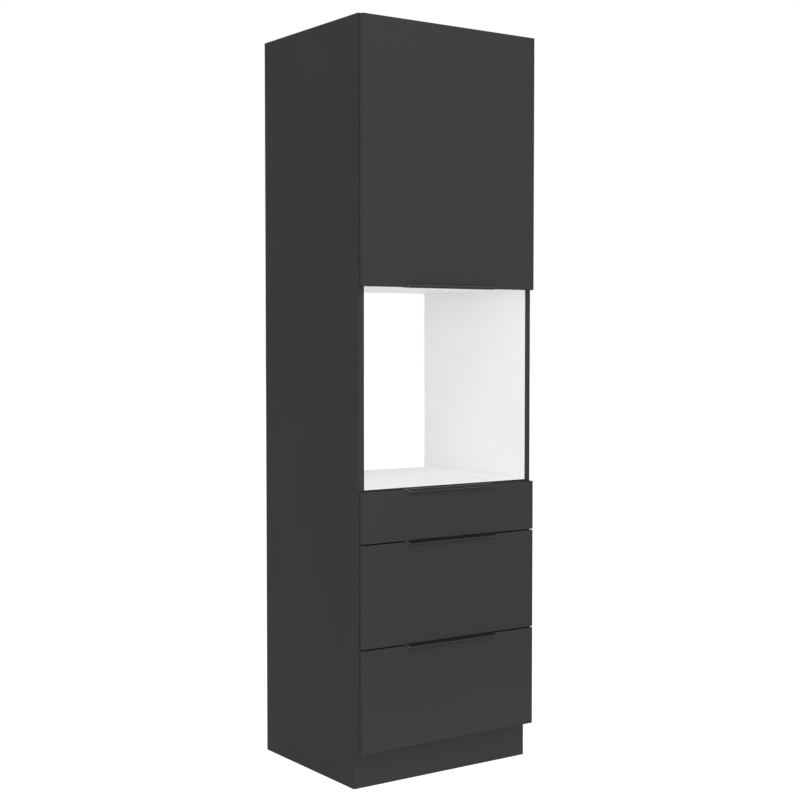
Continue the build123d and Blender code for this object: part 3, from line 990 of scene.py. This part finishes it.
# %% [markdown]
# ## Cams
#
# The boards are drawn together by cams that are sunk into the faces which an owner rarely sees: under
# the bottom board, under the niche and inside the drawers. Those inside the cupboard wear white caps.
# Only the visible face of a cam is made, as a thin disc on the board, because the rest is hidden.

# %% Fit the carcass cams
cam_edge = 0.034
cam_inset = 0.06
cam_depths = (carcass_front + cam_inset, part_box("upper_back_panel")[0].y - cam_inset)
cam_faces = (("top_panel", -1, white_plastic), ("niche_ceiling_panel", 1, white_plastic),
             ("niche_floor_panel", -1, zinc_steel), ("bottom_panel", -1, zinc_steel))
for name, up, finish in cam_faces:
    low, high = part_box(name)
    face_z = high.z if up > 0 else low.z
    half = high.x - cam_edge
    spots = [pointing((x, y, face_z), (0, 0, up)) for x in (-half, half) for y in cam_depths]
    fit_copies(name + "_cams", board_cam, spots, "carcass", finish)
print("carcass cams lie at y =", [round(y, 3) for y in cam_depths])

# %% [markdown]
# ## Cams in the drawers
#
# Cams near the front end of each drawer side draw the front against it. One drawer's cams could be
# copied to the next, but the upper drawer is too low for two, so each drawer lists its heights.

# %% Fit the drawer cams
drawer_cam_heights = {"lower": (0.045, 0.155), "middle": (0.045, 0.155), "upper": (0.05,)}
for place in drawer_places:
    spots = []
    for hand_name, hand in hands:
        low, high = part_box(f"{place}_drawer_{hand_name}_side")
        inner_x = low.x if hand > 0 else high.x
        for height in drawer_cam_heights[place]:
            spots.append(pointing((inner_x, low.y + cam_edge, low.z + height), (-hand, 0, 0)))
    fit_copies(f"{place}_drawer_cams", board_cam, spots, f"{place}_drawer", zinc_steel)
    print("cams in the", place, "drawer:", len(spots))

# %% [markdown]
# ## Spare pin holes
#
# The cupboard's sides have rows of spare holes, so that the shelf can be moved by steps of 32
# millimetres. They could be drilled with a Boolean modifier, but that would change the model's own
# boards, so each hole is a thin disc of painted shade on the board, which at this size looks the same.

# %% Fit the spare pin holes
hole_pitch = 0.032
hole_radius = 0.0025
# Each disc is painted shade in place of the dark inside of a hole.
shade_height = 0.00003
shade_outline = [(0, 0.0), (hole_radius, 0.0), (hole_radius * 0.9, shade_height), (0, shade_height)]
hole_mesh = finished_mesh(turned(shade_outline), "pin_hole")
pins_low, pins_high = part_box("shelf_pins")
pin_z = (pins_low.z + pins_high.z) / 2
spots = []
for hand in (-1, 1):
    for y in (pins_low.y + hole_radius, pins_high.y - hole_radius):
        for step in (-3, -2, -1, 1, 2, 3):
            spots.append(pointing((hand * inner_half, y, pin_z + step * hole_pitch), (-hand, 0, 0)))
fit_copies("spare_pin_hole_shades", hole_mesh, spots, "carcass", hole_painted_shade)
print("spare holes:", len(spots))

# %% [markdown]
# ## Floor and background
#
# The cabinet was photographed against pure white. That could be had with strong light, but then the
# cabinet would burn out too. So floor and world show white to the camera and in reflections, and
# light the cabinet at an ordinary level.

# %% White to look at, ordinary as light
def seen_directly(tree):
    """1 for rays that show the background itself: camera, mirror and glass rays."""
    rays = add_node(tree, "LightPath").outputs
    camera_or_mirror = calculate(tree, "MAXIMUM", rays["Is Camera Ray"], rays["Is Glossy Ray"])
    return calculate(tree, "MAXIMUM", camera_or_mirror, rays["Is Transmission Ray"])


def choose_by_ray(tree, as_light, as_seen):
    """One shader for the light that a surface sends out, another for how it looks."""
    inputs = {0: seen_directly(tree), 1: as_light.outputs[0], 2: as_seen.outputs[0]}
    return add_node(tree, "MixShader", inputs).outputs[0]


pure_white = (1, 1, 1, 1)
print("the background's colour:", pure_white[:3])

# %% [markdown]
# ## Floor
#
# A floor that only glows would hide the cabinet's shadow, and one that is only painted would look
# grey. So what the camera sees is mostly glow, with some paint left for a soft shadow.

# %% Floor
floor_size = 40.0
floor_glow = 0.82
lighting_colour = (0.88, 0.88, 0.88, 1)
shadow_colour = (0.45, 0.45, 0.45, 1)

shape = bmesh.new()
bmesh.ops.create_grid(shape, x_segments=8, y_segments=8, size=floor_size)
floor = bpy.data.objects.new("floor", finished_mesh(shape, "floor"))
bpy.context.scene.collection.objects.link(floor)
pale_floor = bpy.data.materials.new("pale_floor")
pale_floor.use_nodes = True
tree = pale_floor.node_tree
tree.nodes.clear()
plain = add_node(tree, "BsdfDiffuse", {"Color": lighting_colour})
shade = add_node(tree, "BsdfDiffuse", {"Color": shadow_colour})
glow = add_node(tree, "Emission", {"Color": pure_white, "Strength": floor_glow})
bright = add_node(tree, "AddShader", {0: shade.outputs[0], 1: glow.outputs[0]})
add_node(tree, "OutputMaterial", {"Surface": choose_by_ray(tree, as_light=plain, as_seen=bright)})
floor.data.materials.append(pale_floor)
floor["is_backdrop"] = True
print("the floor reaches", floor_size, "metres each way")

# %% [markdown]
# ## World
#
# The world is the white all round. An image of a studio would give livelier reflections, but the
# photograph shows hardly any, so it is one plain light from every side.

# %% World
room_light = 0.66

world = bpy.data.worlds.new("studio")
world.use_nodes = True
bpy.context.scene.world = world
tree = world.node_tree
tree.nodes.clear()
white_seen = add_node(tree, "Background", {"Color": pure_white, "Strength": 1.0})
room = add_node(tree, "Background", {"Color": pure_white, "Strength": room_light})
add_node(tree, "OutputWorld", {"Surface": choose_by_ray(tree, as_light=room, as_seen=white_seen)})
print("the room lights the cabinet at", room_light, "of the white that shows")

# %% [markdown]
# ## Lamps
#
# The photograph's light is very even. Small lamps would leave bright spots, so three large soft
# lamps model the faces: one in front on the left, one high in front that reaches the floor of the
# niche, and a weak one on the right. The plinth stands back under the fronts and would be too dark,
# so a faint strip near the floor helps it, with a narrow beam that stays below the niche.

# %% Lamps
def soft_lamp(name, place, target, width, height, power, beam=180):
    """An upright studio softbox that looks at a target. beam is the angle of its beam in degrees."""
    data = bpy.data.lights.new(name, "AREA")
    data.shape = "RECTANGLE"
    data.size = width
    data.size_y = height
    data.energy = power
    data.spread = math.radians(beam)
    lamp = bpy.data.objects.new(name, data)
    lamp.location = place
    lamp.rotation_euler = (Vector(target) - Vector(place)).to_track_quat("-Z", "Y").to_euler()
    bpy.context.scene.collection.objects.link(lamp)


cabinet_middle = (cad_low + cad_high) / 2
niche_front = (0, -0.2, 1.0)
plinth_front = (0, -0.2, 0.02)
soft_lamp("front_left_lamp", (-2.4, -4.6, 1.4), cabinet_middle, width=2.5, height=2.8, power=96)
soft_lamp("top_lamp", (-0.6, -3.2, 4.2), niche_front, width=2.0, height=2.0, power=50)
soft_lamp("plinth_strip_lamp", (-0.5, -3.0, 0.15), plinth_front, width=1.6, height=0.2, power=0.4, beam=14)
soft_lamp("right_lamp", (3.6, -2.6, 2.0), cabinet_middle, width=2.0, height=3.5, power=12)
print("lamps:", len(bpy.data.lights))

# %% [markdown]
# ## Colours as they were chosen
#
# Blender can bend colours the way film does, which is kind to sunlight and fire. The levels in this
# lesson were chosen from a photograph, so the plain transform is used, which leaves them alone.

# %% Look settings
bpy.context.scene.view_settings.view_transform = "Standard"
print("view transform:", bpy.context.scene.view_settings.view_transform)

# %% [markdown]
# ## Finish
#
# Last, the finished cabinet's box is compared with the model's box. Fittings and finishes must not
# make the cabinet bigger than it is.

# %% Compare the sizes and finish
seen_low, seen_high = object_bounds()
grown_low = [round(v * 1000, 3) for v in cad_low - seen_low]
grown_high = [round(v * 1000, 3) for v in seen_high - cad_high]
print("grown by, in millimetres:", grown_low, grown_high)
